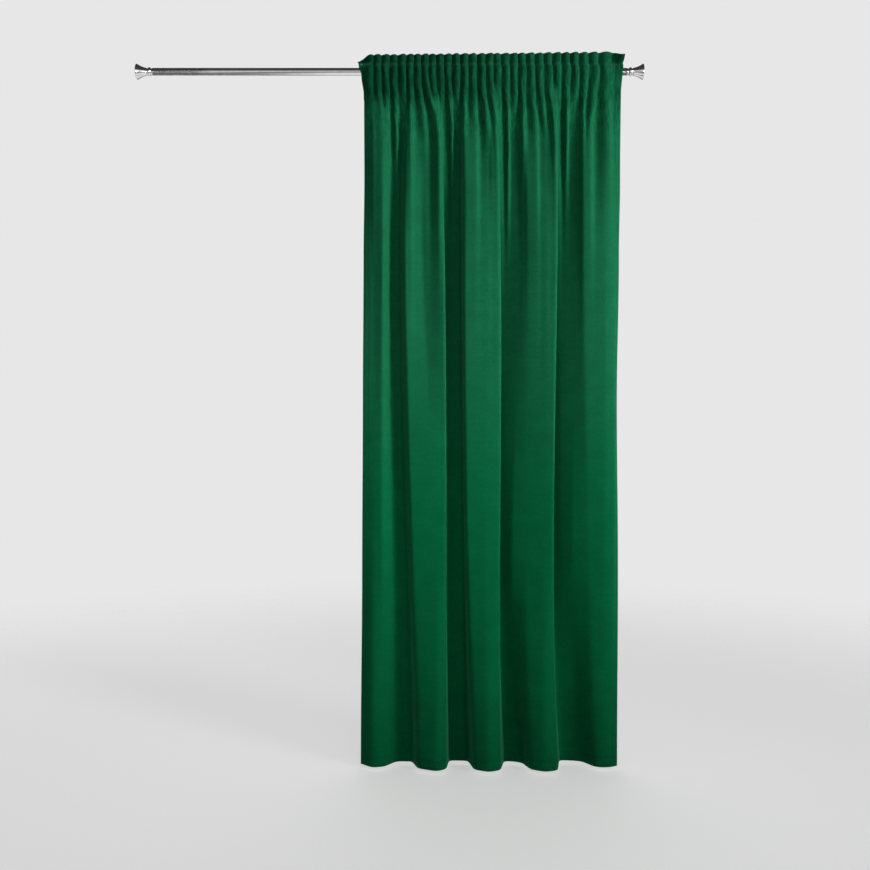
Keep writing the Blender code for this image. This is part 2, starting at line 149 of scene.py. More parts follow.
# Gathers, from left to right: place of the ridge at the heading, how far it moves across on its way
# down, how far down it lasts, its height as a share of the gathers' height, and how far down the
# groove to its right lasts, with that groove's depth as a share
GATHERS = (
    # place, moves, lasts, height, groove lasts, groove depth
    (-0.072, -0.004, 0.07, 1.0, 0.10, 0.7),
    (-0.042, 0.016, 0.60, 1.1, 0.12, 0.8),
    (-0.012, 0.006, 0.45, 0.9, 1.50, 1.0),
    (0.019, 0.008, 0.40, 0.6, 1.00, 1.0),
    (0.053, 0.006, 0.08, 1.1, 0.12, 1.0),
    (0.080, 0.000, 0.60, 1.0, 0.38, 0.9),
    (0.110, 0.027, 0.24, 0.9, 0.90, 1.0),
    (0.137, 0.053, 0.90, 1.1, 0.08, 0.8),
    (0.165, 0.036, 0.12, 0.8, 1.00, 1.0),
    (0.196, 0.018, 0.09, 0.8, 1.00, 1.0),
    (0.224, 0.014, 0.45, 0.9, 1.00, 1.0),
    (0.256, 0.005, 0.09, 1.2, 1.00, 1.0),
    (0.288, -0.008, 0.42, 1.0, 0.18, 0.8),
    (0.319, 0.008, 0.80, 1.0, 0.46, 1.3),
    (0.353, 0.022, 0.24, 0.9, 0.20, 0.7),
    (0.383, 0.026, 0.90, 1.1, 0.06, 0.8),
    (0.410, 0.020, 0.08, 0.8, 1.00, 1.0),
    (0.444, 0.008, 0.50, 0.8, 1.00, 1.0),
    (0.475, 0.007, 0.11, 0.8, 1.00, 1.0),
    (0.505, 0.001, 0.42, 0.9, 0.25, 0.8),
    (0.539, 0.018, 0.70, 1.0, 0.40, 1.1),
    (0.571, 0.024, 0.20, 0.7, 0.30, 0.7),
    (0.606, 0.021, 0.90, 1.1, 0.06, 0.8),
    (0.638, 0.012, 0.08, 1.2, 1.00, 1.0),
    (0.674, -0.001, 0.40, 1.0, 1.00, 1.0),
    (0.706, 0.006, 0.08, 1.2, 1.00, 1.0),
    (0.740, -0.008, 0.80, 0.9, 0.18, 0.8),
    (0.780, -0.024, 0.80, 1.1, 0.65, 0.9),
    (0.818, 0.010, 0.60, 1.0, 0.60, 0.5),
)
GATHER_HEIGHT = 0.0078
GATHER_SWELL = 0.0060
SWELL_DEPTH = 0.09
GATHER_FADE_DEPTH = 0.60
GATHER_FADE_POWER = 2.2
GATHER_DRIFT_DEPTH = 0.15
GATHER_DRIFT_POWER = 2.2
GATHER_WOBBLE = 0.0022
WOBBLE_LENGTH = 0.130
WOBBLE_STEP = 2.4
WOBBLE_DEPTH = 0.25
LAST_SHARPNESS = 5.0
EDGE_LEVEL = -0.5
SETTLING_SWEEPS = 8
GROOVE_SHARE = 0.30
FULL_GAP = 0.024
FLAT_END = 0.850

# ---------------------------------------------------------------- the cloth's shape

# Columns of the mesh across the sheet, points of a section before its corners are rounded, and how
# many radii of a corner the rounding reaches
COLUMNS = 276
SECTION_POINTS = 3200
ROUNDING_REACH = 3
# Rows of the heading, where a share goes from 0 at the upper stitch to 1 at the top fold: the last
# share of the frill turns over the top
TURNED_EDGE_ROWS = 2
POCKET_ROWS = 26
FRILL_SHARES = (0.3, 0.6, 0.85)
TOP_TURN = 0.08
TOP_TURN_POINTS = 7
# Rows of points down the face below the pocket: where each stretch starts, and how many rows it has
FACE_STRETCHES = (
    (LOWER_STITCH - 0.005, 2),
    (PRESSED_END, 31),
    (-0.320, 26),
    (-0.720, 46),
    (-2.560, 4),
)


def smooth_between(rows, height):
    """Values of a table's row at a height, eased between the rows, which run from high to low."""
    heights = [row[0] for row in rows]
    values = np.array([row[1:] for row in rows])
    if height >= heights[0]:
        return values[0]
    if height <= heights[-1]:
        return values[-1]
    below = next(i for i, level in enumerate(heights) if level <= height)
    share = (heights[below - 1] - height) / (heights[below - 1] - heights[below])
    eased = share * share * (3 - 2 * share)
    return values[below - 1] + (values[below] - values[below - 1]) * eased


def fold_growth(height):
    """Share of their full depth that the broad folds have at a height."""
    below = max(0.0, FOLD_START - height)
    return 1 - math.exp(-((below / FOLD_GROWTH_DEPTH) ** FOLD_GROWTH_POWER))


def corner_line(height):
    """The broad folds' corners at a height, between the two side edges: places across and depths."""
    table = np.array(CORNERS)
    count = len(TABLE_HEIGHTS)
    level = min(max(height, TABLE_HEIGHTS[-1]), TABLE_HEIGHTS[0])
    places = np.polyval(np.polyfit(TABLE_HEIGHTS, table[:, :count].T, count - 1), level)
    depths = table[:, count:] @ smooth_between(FOLD_LEVELS, height)
    left, right, left_depth, right_depth = smooth_between(SIDE_EDGES, height)
    corners = zip(places, depths * fold_growth(height))
    return np.array([(left, left_depth), *corners, (right, right_depth)])


def lengths_along(line):
    """Length along a line at each of its points."""
    steps = np.hypot(*np.diff(line, axis=0).T)
    return np.concatenate([[0], np.cumsum(steps)])


def evenly(line, count):
    """Points evenly spaced along a line."""
    lengths = lengths_along(line)
    marks = np.linspace(0, lengths[-1], count)
    return np.column_stack([np.interp(marks, lengths, column) for column in line.T])


def rounded(line, radius):
    """An evenly spaced line with its corners rounded off, and its ends kept."""
    spacing = math.dist(line[0], line[1])
    reach = math.ceil(ROUNDING_REACH * radius / spacing)
    offsets = np.arange(-reach, reach + 1) * spacing
    weights = np.exp(-0.5 * (offsets / radius) ** 2)
    weights /= weights.sum()
    before = 2 * line[0] - line[reach:0:-1]
    after = 2 * line[-1] - line[-2 : -reach - 2 : -1]
    padded = np.vstack([before, line, after])
    return np.column_stack([np.convolve(column, weights, "valid") for column in padded.T])


def gather_relief(height):
    """Height of the gathers' ridges: it swells as the gathers merge, and then fades."""
    below = max(0.0, FOLD_START - height)
    swell = GATHER_SWELL * (1 - math.exp(-((below / SWELL_DEPTH) ** 2)))
    return (GATHER_HEIGHT + swell) * math.exp(-((below / GATHER_FADE_DEPTH) ** GATHER_FADE_POWER))


def gather_wobble(count, height):
    """How far each ridge strays across at a height, most of all at the heading."""
    turns = 2 * math.pi * height / WOBBLE_LENGTH + WOBBLE_STEP * np.arange(count)
    below = max(0.0, -height)
    return GATHER_WOBBLE * np.sin(turns) * math.exp(-((below / WOBBLE_DEPTH) ** 2))


def settled(levels, kept):
    """Levels of the ridges and grooves in turn, where what isn't kept settles level with both sides."""
    now = levels.copy()
    for _ in range(SETTLING_SWEEPS):
        beside = (now[:-2] + now[2:]) / 2
        now[1:-1] = beside + (levels[1:-1] - beside) * kept[1:-1]
    return now


def gather_wave(places, height):
    """Depth of the gathers at places across: ridges and grooves in turn, with flat cloth at the ends."""
    starts, drifts, lasts, shares, groove_lasts, groove_shares = np.array(GATHERS).T
    below = max(0.0, -height)
    moved = 1 - math.exp(-((below / GATHER_DRIFT_DEPTH) ** GATHER_DRIFT_POWER))
    ridges = starts + drifts * moved + gather_wobble(len(starts), height)
    gaps = np.diff(ridges, append=FLAT_END)
    marks = np.empty(2 * len(ridges) + 1)
    levels = np.empty_like(marks)
    kept = np.empty_like(marks)
    marks[0] = ridges[0] - gaps[0]
    marks[1::2] = ridges
    marks[2::2] = ridges + GROOVE_SHARE * gaps
    levels[0] = EDGE_LEVEL
    levels[1::2] = shares
    levels[2::2] = -groove_shares * np.minimum(1, gaps / FULL_GAP)
    kept[0] = 1.0
    kept[1::2] = 1 / (1 + (below / lasts) ** LAST_SHARPNESS)
    kept[2::2] = 1 / (1 + (below / groove_lasts) ** LAST_SHARPNESS)
    levels = settled(levels, kept) * gather_relief(height)
    marks[-1] = FLAT_END
    spot = np.interp(places, marks, np.arange(len(marks)))
    before = np.minimum(spot.astype(int), len(marks) - 2)
    eased = (1 - np.cos(math.pi * (spot - before))) / 2
    return levels[before] + (levels[before + 1] - levels[before]) * eased


def section(height):
    """The cloth's line across at a height: places and depths towards the room."""
    opened = smooth_between(FOLD_LEVELS, height)[-1]
    radius = CORNER_RADIUS + (HEM_CORNER_RADIUS - CORNER_RADIUS) * opened
    line = rounded(evenly(corner_line(height), SECTION_POINTS), radius)
    line[:, 1] += gather_wave(line[:, 0], height)
    return line


def sheet_row(height, side, spread, bulge, shares):
    """One row of the sheet: the section at a height, moved to its layer of the heading."""
    line = section(height)
    lengths = lengths_along(line)
    slopes = np.gradient(line, lengths, axis=0)
    along = shares * lengths[-1]
    across, depth = (np.interp(along, lengths, column) for column in line.T)
    run, rise = (np.interp(along, lengths, column) for column in slopes.T)
    return np.column_stack(
        [
            across + side * spread * rise,
            -depth + side * (bulge + spread * run),
            np.full(len(shares), height),
        ]
    )


def pocket_bulge(height):
    """How far each layer of the pocket stands off the rod's axis."""
    end = UPPER_STITCH if height > 0 else LOWER_STITCH
    return POCKET_DEPTH * math.cos(math.pi / 2 * min(1.0, height / end)) ** 2


def top_fold(shares):
    """Height of the top fold across the cloth: it rises to the right, and its two corners drop."""
    left_drop = LEFT_CORNER_DROP * np.exp(-((shares * CUT_WIDTH / CORNER_WIDTH) ** 2))
    right_drop = RIGHT_CORNER_DROP * np.exp(-(((1 - shares) * CUT_WIDTH / CORNER_WIDTH) ** 2))
    return TOP_FOLD_LEFT + (TOP_FOLD_RIGHT - TOP_FOLD_LEFT) * shares - left_drop - right_drop


def frill_row(share, side, shares):
    """A row of the standing frill between the upper stitch and the top fold."""
    spread = side * (STITCHED_SPREAD + (FRILL_SPREAD - STITCHED_SPREAD) * share)
    level = UPPER_STITCH + (TOP_FOLD_LEFT - UPPER_STITCH) * share
    row = sheet_row(level, 1, spread, 0.0, shares)
    row[:, 2] = UPPER_STITCH + (top_fold(shares) - UPPER_STITCH) * share
    return row


def face_spread(height):
    """How far the face stands off the cloth's middle line: it clears the turned edge behind it."""
    return STITCHED_SPREAD if height >= PRESSED_END else 0.0


def row_heights(start, end, count):
    """Even heights from the start to just short of the end."""
    return np.linspace(start, end, count, endpoint=False)


def face_heights():
    """Heights of the face's rows, from below the pocket to the hem."""
    ends = [start for start, _ in FACE_STRETCHES[1:]] + [HEM]
    heights = [
        row_heights(start, end, count) for (start, count), end in zip(FACE_STRETCHES, ends)
    ]
    return [*np.concatenate(heights), HEM]


def sheet_points():
    """The whole sheet as rows of points, from the turned edge to the hem."""
    shares = np.linspace(0, 1, COLUMNS + 1)
    edge = list(row_heights(TURNED_EDGE, LOWER_STITCH, TURNED_EDGE_ROWS))
    pocket = [*row_heights(LOWER_STITCH, UPPER_STITCH, POCKET_ROWS), UPPER_STITCH]
    turns = np.linspace(0, math.pi, TOP_TURN_POINTS)[1:-1]
    rows = [sheet_row(z, 1, STITCHED_SPREAD, pocket_bulge(z), shares) for z in edge + pocket]
    rows += [frill_row(share, 1, shares) for share in FRILL_SHARES]
    rows += [
        frill_row(1 - TOP_TURN + TOP_TURN * math.sin(turn), math.cos(turn), shares)
        for turn in turns
    ]
    rows += [frill_row(share, -1, shares) for share in FRILL_SHARES[::-1]]
    rows += [sheet_row(z, -1, STITCHED_SPREAD, pocket_bulge(z), shares) for z in pocket[::-1]]
    rows += [sheet_row(z, -1, face_spread(z), 0.0, shares) for z in face_heights()]
    return np.array(rows)


def added(name, data):
    """A new object in the scene."""
    made = bpy.data.objects.new(name, data)
    bpy.context.scene.collection.objects.link(made)
    return made


def lay_flat(data, points):
    """Give the sheet its flat places in metres, across and down, and return its length."""
    count, width = points.shape[:2]
    rises = np.linalg.norm(np.diff(points, axis=0), axis=2).mean(axis=1)
    lengths = np.concatenate([[0], np.cumsum(rises)])
    flat = np.zeros((count, width, 2))
    flat[..., 0] = np.linspace(0, CUT_WIDTH, width)
    flat[..., 1] = lengths[:, None]
    layer = data.uv_layers.new(name="cloth_metres")
    corners = np.empty(len(data.loops), np.int32)
    data.loops.foreach_get("vertex_index", corners)
    layer.data.foreach_set("uv", flat.reshape(-1, 2)[corners].ravel())
    return lengths[-1]


def cloth():
    """The sheet as one object, and its length from the turned edge to the hem."""
    points = sheet_points()
    count, width = points.shape[:2]
    index = np.arange(count * width).reshape(count, width)
    faces = np.stack([index[:-1, :-1], index[1:, :-1], index[1:, 1:], index[:-1, 1:]], axis=-1)
    data = bpy.data.meshes.new("velvet_sheet")
    data.from_pydata(points.reshape(-1, 3).tolist(), [], faces.reshape(-1, 4).tolist())
    length = lay_flat(data, points)
    data.shade_smooth()
    sheet = added("velvet_sheet", data)
    solid = sheet.modifiers.new("thickness", "SOLIDIFY")
    solid.thickness = CLOTH_THICKNESS
    solid.offset = 0.0
    return sheet, length


# ---------------------------------------------------------------- sewing

STITCH_PITCH = 0.0044
STITCH_LENGTH = 0.0030
THREAD_RADIUS = 0.00032
THREAD_SIDES = 6
THREAD_LIFT = CLOTH_THICKNESS / 2 + THREAD_RADIUS / 3
# Rings of a stitch: share of the way along, and width and dip as shares of the thread's radius
THREAD_RINGS = ((0.0, 0.5, 1.0), (0.25, 1.0, 0.2), (0.75, 1.0, 0.2), (1.0, 0.5, 1.0))
SKIPPED_STITCHES = 2
UPPER_SEAM = UPPER_STITCH - 0.002
FOOT_SEAM = HEM + FOOT_HEM
SIDE_SEAM_TOP = PRESSED_END - 0.006
SIDE_SEAM_POINTS = 90


def stitch_rows_across():
    """Ends of the stitches along the pocket's two seams and the foot hem, on the drape's face."""
    count = int(CUT_WIDTH / STITCH_PITCH) - 2 * SKIPPED_STITCHES
    starts = (np.arange(count) + SKIPPED_STITCHES) * STITCH_PITCH / CUT_WIDTH
    seams = (
        (UPPER_SEAM, STITCHED_SPREAD, pocket_bulge(UPPER_SEAM)),
        (LOWER_STITCH, STITCHED_SPREAD, 0.0),
        (FOOT_SEAM, 0.0, 0.0),
    )
    for height, spread, bulge in seams:
        ends = [starts, starts + STITCH_LENGTH / CUT_WIDTH]
        rows = [sheet_row(height, -1, spread + THREAD_LIFT, bulge, shares) for shares in ends]
        yield from zip(*rows)


def stitch_rows_down():
    """Ends of the stitches along the two side hems, on the drape's face."""
    shares = np.array([SIDE_HEM, CUT_WIDTH - SIDE_HEM]) / CUT_WIDTH
    marks = np.linspace(SIDE_SEAM_TOP, FOOT_SEAM, SIDE_SEAM_POINTS)
    line = np.array([sheet_row(height, -1, THREAD_LIFT, 0.0, shares) for height in marks])
    for side in (0, 1):
        points = line[::-1, side]
        heights = np.arange(points[0, 2] + STITCH_PITCH, points[-1, 2], STITCH_PITCH)
        for height in heights:
            yield [
                np.array([np.interp(z, points[:, 2], points[:, axis]) for axis in range(3)])
                for z in (height, height - STITCH_LENGTH)
            ]


def thread_loop(mesh, start, end):
    """One stitch: a short thread that dips into the cloth at both ends."""
    along = end - start
    sideways = np.cross(along, (0.0, 1.0, 0.0))
    sideways /= np.linalg.norm(sideways)
    outward = np.cross(sideways, along)
    outward /= np.linalg.norm(outward)
    outward *= -np.sign(outward[1]) if outward[1] else 1.0
    turns = np.arange(THREAD_SIDES) * 2 * math.pi / THREAD_SIDES
    rings = []
    for share, size, dip in THREAD_RINGS:
        centre = start + along * share - outward * dip * THREAD_RADIUS
        ring = [
            centre + size * THREAD_RADIUS * (math.cos(a) * sideways + math.sin(a) * outward)
            for a in turns
        ]
        rings.append([mesh.verts.new(point) for point in ring])
    for upper, lower in zip(rings, rings[1:]):
        for i in range(THREAD_SIDES):
            after = (i + 1) % THREAD_SIDES
            mesh.faces.new((upper[i], upper[after], lower[after], lower[i]))
    mesh.faces.new(rings[0])
    mesh.faces.new(rings[-1])


def stitches():
    """Every stitch of the drape, as one object."""
    mesh = bmesh.new()
    for start, end in [*stitch_rows_across(), *stitch_rows_down()]:
        thread_loop(mesh, np.array(start), np.array(end))
    bmesh.ops.recalc_face_normals(mesh, faces=mesh.faces)
    data = bpy.data.meshes.new("sewing_stitches")
    mesh.to_mesh(data)
    mesh.free()
    data.shade_smooth()
    return added("sewing_stitches", data)


# ---------------------------------------------------------------- rod and finials

TURNED_SIDES = 96
CONE_POINTS = 18
BEAD_POINTS = 11
MERGE_DISTANCE = 0.00001


def turned(name, profile, closed=False):
    """A shape turned about Z from a profile at +X that runs down its outer side."""
    data = bpy.data.meshes.new(name)
    edges = [(i, i + 1) for i in range(len(profile) - 1)]
    if closed:
        edges.append((len(profile) - 1, 0))
    data.from_pydata([(radius, 0, height) for radius, height in profile], edges, [])
    shape = added(name, data)
    screw = shape.modifiers.new("turn", "SCREW")
    screw.steps = TURNED_SIDES
    screw.render_steps = TURNED_SIDES
    screw.use_smooth_shade = True
    screw.use_merge_vertices = True
    screw.merge_threshold = MERGE_DISTANCE
    return shape


def rod():
    """The tube, open at both ends, along X."""
    inner = ROD_RADIUS - ROD_WALL
    half = ROD_LENGTH / 2
    profile = [(ROD_RADIUS, half), (ROD_RADIUS, -half), (inner, -half), (inner, half)]
    tube = turned("chrome_rod", profile, closed=True)
    tube.rotation_euler.y = math.pi / 2
    return tube


def cone_radius(share):
    """Radius of the flared cone at a share of the way from its foot to its mouth."""
    flare = (1 - CONE_HOLLOWNESS) * share + CONE_HOLLOWNESS * share * share
    return CONE_FOOT_RADIUS + (CONE_TOP_RADIUS - CONE_FOOT_RADIUS) * flare


def finial_profile():
    """Half-outline of a finial, from the middle of its dished end face down to its plug."""
    plug_radius = ROD_RADIUS - ROD_WALL - PART_GAP
    cone = [
        (cone_radius(share), CONE_FOOT + (CONE_TOP - CONE_FOOT) * share)
        for share in np.linspace(1, 0, CONE_POINTS)
    ]
    middle = (COLLAR_TOP + COLLAR_FOOT) / 2
    bead = [
        (
            NECK_RADIUS + (COLLAR_RADIUS - NECK_RADIUS) * math.sin(turn),
            middle + (COLLAR_TOP - COLLAR_FOOT) / 2 * math.cos(turn),
        )
        for turn in np.linspace(0, math.pi, BEAD_POINTS)
    ]
    return [
        (0.0, RIM - DISH),
        (DISH_FLOOR_RADIUS, RIM - DISH),
        (DISH_RADIUS, RIM),
        (CONE_TOP_RADIUS - RIM_CHAMFER, RIM),
        (CONE_TOP_RADIUS, RIM - RIM_CHAMFER),
        *cone,
        (NECK_RADIUS, CONE_FOOT),
        *bead,
        (NECK_RADIUS, PART_GAP),
        (plug_radius, PART_GAP),
        (plug_radius, PLUG_CHAMFER - PLUG_LENGTH),
        (plug_radius - PLUG_CHAMFER, -PLUG_LENGTH),
        (0.0, -PLUG_LENGTH),
    ]


def finial(name, side):
    """A finial on the tube's left end, with side -1, or on its right end, with side 1."""
    shape = turned(name, finial_profile())
    shape.location.x = side * ROD_LENGTH / 2
    shape.rotation_euler.y = side * math.pi / 2
    return shape


# ---------------------------------------------------------------- materials

# Velvet: its greens, the upper one greyer with a painted sheen, and the heights between which one passes
# into the other
UPPER_GREEN = (0.0070, 0.110, 0.0470)
LOWER_GREEN = (0.0020, 0.110, 0.0390)
UPPER_START = -0.900
LOWER_END = -1.800
# Painted shade: the green darkens towards the foot
FOOT_PAINTED_SHADE = 0.88
FOOT_PAINTED_SHADE_TOP = -2.250
HEADING_TOP = -0.070
HEADING_FOOT = -0.170
# Painted shade: the green is darker in the heading, most of all at its left
HEADING_PAINTED_SHADES = (0.46, 0.85)
CRUSH_FOOT = -0.420
CRUSH_DEPTH = 3.5
CRUSH_SHADES = (0.72, 1.32)

# Velvet: the patterns' marks in a metre, and the shades that they give the green
PATCHES_PER_METRE = 14.0
STREAKS_PER_METRE = (12.0, 90.0, 1.0)
MOTTLE_PER_METRE = (130.0, 75.0, 1.0)
PILE_PER_METRE = 650.0
WRINKLES_PER_METRE = (130.0, 24.0, 1.0)
PATTERN_SHADES = {
    "patches": (0.93, 1.07),
    "streaks": (0.96, 1.04),
    "mottle": (0.92, 1.08),
    "pile": (0.80, 1.20),
}
NOISE_SPAN = (0.25, 0.75)
NOISE_MIDDLE = (0.3, 0.7)
SEAM_WIDTH = 0.0030
# Painted shade along the hems' pressed grooves
GROOVE_PAINTED_SHADE = 0.84
WEAVE_PITCH = 0.0016
WEAVE_HEIGHT = 0.15
VELVET_ROUGHNESS = (0.82, 0.95)
VELVET_BUMP = (0.45, 0.0009)
SHEEN_WEIGHT = 0.30
SHEEN_ROUGHNESS = 0.35
SHEEN_GREEN = (0.18, 1.0, 0.55, 1)

# Thread and chrome; a bump is its strength and its depth
FIBRES_PER_METRE = 2200.0
THREAD_SHADES = (0.25, 0.50)
THREAD_ROUGHNESS = 0.8
THREAD_GLOSS = 0.1
THREAD_BUMP = (0.5, 0.0002)

DRAWN_PER_METRE = (900.0, 900.0, 12.0)
SMUDGES_PER_METRE = 45.0
SMUDGE_GLOSS_SPAN = (0.35, 0.75)
SMUDGE_TONE_SPAN = (0.3, 0.8)
CHROME_ROUGHNESS = (0.08, 0.20)
CHROME_TONES = (0.84, 0.74)
CHROME_BUMP = (0.12, 0.00005)


def new_material(name):
    """A material, its node tree and its shader."""
    finish = bpy.data.materials.new(name)
    finish.use_nodes = True
    return finish, finish.node_tree, finish.node_tree.nodes["Principled BSDF"]


def add_node(tree, kind, inputs, **settings):
    """A node with its settings, and its inputs as values or as links from other nodes' outputs."""
    made = tree.nodes.new("ShaderNode" + kind)
    for name, value in settings.items():
        setattr(made, name, value)
    for name, value in inputs.items():
        if isinstance(value, bpy.types.NodeSocket):
            tree.links.new(value, made.inputs[name])
        else:
            made.inputs[name].default_value = value
    return made


def calculate(tree, operation, first, second=0.0):
    """A sum, product or other operation on one or two values."""
    return add_node(tree, "Math", {0: first, 1: second}, operation=operation).outputs[0]


def rescale(tree, value, start, end, low, high):
    """A value mapped smoothly from start and end to low and high."""
    inputs = {"Value": value, "From Min": start, "From Max": end, "To Min": low, "To Max": high}
    made = add_node(tree, "MapRange", inputs, interpolation_type="SMOOTHSTEP")
    return made.outputs["Result"]


def noise(tree, vector, scale, detail):
    """A soft random pattern from 0 to 1."""
    inputs = {"Vector": vector, "Scale": scale, "Detail": detail}
    return add_node(tree, "TexNoise", inputs).outputs["Fac"]


def stretched(tree, vector, scale):
    """A place scaled by its own number along each axis."""
    return add_node(tree, "Mapping", {"Vector": vector, "Scale": scale}).outputs["Vector"]


def seam_groove(tree, place, line):
    """0 along a sewn line and 1 beyond its pressed groove."""
    distance = calculate(tree, "ABSOLUTE", calculate(tree, "SUBTRACT", place, line))
    return rescale(tree, distance, 0.0, SEAM_WIDTH, 0.0, 1.0)


def weave(tree, across, down):
    """Crossing threads of the ground cloth, under the pile."""
    turns = 2 * math.pi / WEAVE_PITCH
    warp = calculate(tree, "SINE", calculate(tree, "MULTIPLY", across, turns))
    weft = calculate(tree, "SINE", calculate(tree, "MULTIPLY", down, turns))
    return calculate(tree, "MULTIPLY", warp, weft)


def tint(tree, shader, colour, shade):
    """Give the shader a colour, made lighter or darker by a shade."""
    tinted = add_node(tree, "VectorMath", {0: colour, "Scale": shade}, operation="SCALE")
    tree.links.new(tinted.outputs["Vector"], shader.inputs["Base Color"])


def emboss(tree, shader, height, bump):
    """Give the shader a fine relief, with a bump's strength and depth."""
    strength, depth = bump
    inputs = {"Height": height, "Strength": strength, "Distance": depth}
    relief = add_node(tree, "Bump", inputs)
    tree.links.new(relief.outputs["Normal"], shader.inputs["Normal"])


def hem_grooves(tree, across, down, length):
    """0 along the sewn lines of the side and foot hems, and 1 beyond their pressed grooves."""
    from_middle = calculate(tree, "ABSOLUTE", calculate(tree, "SUBTRACT", across, CUT_WIDTH / 2))
    side_groove = seam_groove(tree, from_middle, CUT_WIDTH / 2 - SIDE_HEM)
    foot_groove = seam_groove(tree, down, length - FOOT_HEM)
    return calculate(tree, "MULTIPLY", side_groove, foot_groove)


def velvet_patterns(tree, flat):
    """The random patterns of the velvet, laid on the flat cloth."""
    return {
        "patches": noise(tree, flat, PATCHES_PER_METRE, detail=3.0),
        "streaks": noise(tree, stretched(tree, flat, STREAKS_PER_METRE), 1.0, detail=3.0),
        "mottle": noise(tree, stretched(tree, flat, MOTTLE_PER_METRE), 1.0, detail=3.0),
        "pile": noise(tree, flat, PILE_PER_METRE, detail=2.0),
        "wrinkles": noise(tree, stretched(tree, flat, WRINKLES_PER_METRE), 1.0, detail=3.0),
    }


def velvet_shade(tree, across, height, patterns, crush, groove):
    """How light the green is: random marks, and painted shade that makes it darker in the heading, in
    the hems' grooves and towards the foot.
    """
    # Painted shade in the heading, darkest at its left
    heading = rescale(tree, across, 0.0, CUT_WIDTH, *HEADING_PAINTED_SHADES)
    shade = rescale(tree, height, HEADING_FOOT, HEADING_TOP, 1.0, heading)
    wrinkled = rescale(tree, patterns["wrinkles"], *NOISE_MIDDLE, *CRUSH_SHADES)
    crushed = rescale(tree, crush, 0.0, 1.0, 1.0, wrinkled)
    shade = calculate(tree, "MULTIPLY", shade, crushed)
    for name, shades in PATTERN_SHADES.items():
        marked = rescale(tree, patterns[name], *NOISE_SPAN, *shades)
        shade = calculate(tree, "MULTIPLY", shade, marked)
    # Painted shade in the hems' pressed grooves
    pressed = rescale(tree, groove, 0.0, 1.0, GROOVE_PAINTED_SHADE, 1.0)
    shade = calculate(tree, "MULTIPLY", shade, pressed)
    # Painted shade towards the foot
    foot = rescale(tree, height, HEM, FOOT_PAINTED_SHADE_TOP, FOOT_PAINTED_SHADE, 1.0)
    return calculate(tree, "MULTIPLY", shade, foot)


def velvet_green_with_painted_sheen(tree, height):
    """The cloth's green, greyer at the top with a painted sheen, and purer at the foot."""
    painted_sheen_share = rescale(tree, height, LOWER_END, UPPER_START, 0.0, 1.0)
    greens = {"Fac": painted_sheen_share, "Color1": (*LOWER_GREEN, 1), "Color2": (*UPPER_GREEN, 1)}
    return add_node(tree, "MixRGB", greens).outputs["Color"]


def velvet_relief(tree, across, down, patterns, crush, groove):
    """Height of the pile over its weave, with the hems' grooves and the heading's creases."""
    ground = calculate(tree, "MULTIPLY", weave(tree, across, down), WEAVE_HEIGHT)
    wrinkled = calculate(tree, "MULTIPLY", patterns["wrinkles"], crush)
    creases = calculate(tree, "MULTIPLY", wrinkled, CRUSH_DEPTH)
    relief = calculate(tree, "ADD", calculate(tree, "ADD", patterns["pile"], ground), groove)
    return calculate(tree, "ADD", relief, creases)


def velvet(length):
    """Cut pile brushed in patches, over a fine weave, crushed in the heading, with painted shade and a
    painted sheen in its green.
    """
    finish, tree, shader = new_material("green_velvet")
    flat = add_node(tree, "UVMap", {}, uv_map="cloth_metres").outputs["UV"]
    parts = add_node(tree, "SeparateXYZ", {"Vector": flat})
    across, down = parts.outputs["X"], parts.outputs["Y"]
    place = add_node(tree, "TexCoord", {}).outputs["Object"]
    height = add_node(tree, "SeparateXYZ", {"Vector": place}).outputs["Z"]
    patterns = velvet_patterns(tree, flat)
    groove = hem_grooves(tree, across, down, length)
    crush = rescale(tree, height, CRUSH_FOOT, HEADING_TOP, 0.0, 1.0)

    shade = velvet_shade(tree, across, height, patterns, crush, groove)
    tint(tree, shader, velvet_green_with_painted_sheen(tree, height), shade)
    roughness = rescale(tree, patterns["patches"], *NOISE_MIDDLE, *VELVET_ROUGHNESS)
    tree.links.new(roughness, shader.inputs["Roughness"])
    emboss(tree, shader, velvet_relief(tree, across, down, patterns, crush, groove), VELVET_BUMP)
    shader.inputs["Specular IOR Level"].default_value = 0.0
    shader.inputs["Sheen Weight"].default_value = SHEEN_WEIGHT
    shader.inputs["Sheen Roughness"].default_value = SHEEN_ROUGHNESS
    shader.inputs["Sheen Tint"].default_value = SHEEN_GREEN
    return finish


def thread():
    """Twisted green sewing thread."""
    finish, tree, shader = new_material("green_thread")
    place = add_node(tree, "TexCoord", {}).outputs["Object"]
    fibres = noise(tree, place, FIBRES_PER_METRE, detail=2.0)
    green = add_node(tree, "CombineXYZ", dict(enumerate(UPPER_GREEN))).outputs["Vector"]
    tint(tree, shader, green, rescale(tree, fibres, *NOISE_MIDDLE, *THREAD_SHADES))
    emboss(tree, shader, fibres, THREAD_BUMP)
    shader.inputs["Roughness"].default_value = THREAD_ROUGHNESS
    shader.inputs["Specular IOR Level"].default_value = THREAD_GLOSS
    return finish


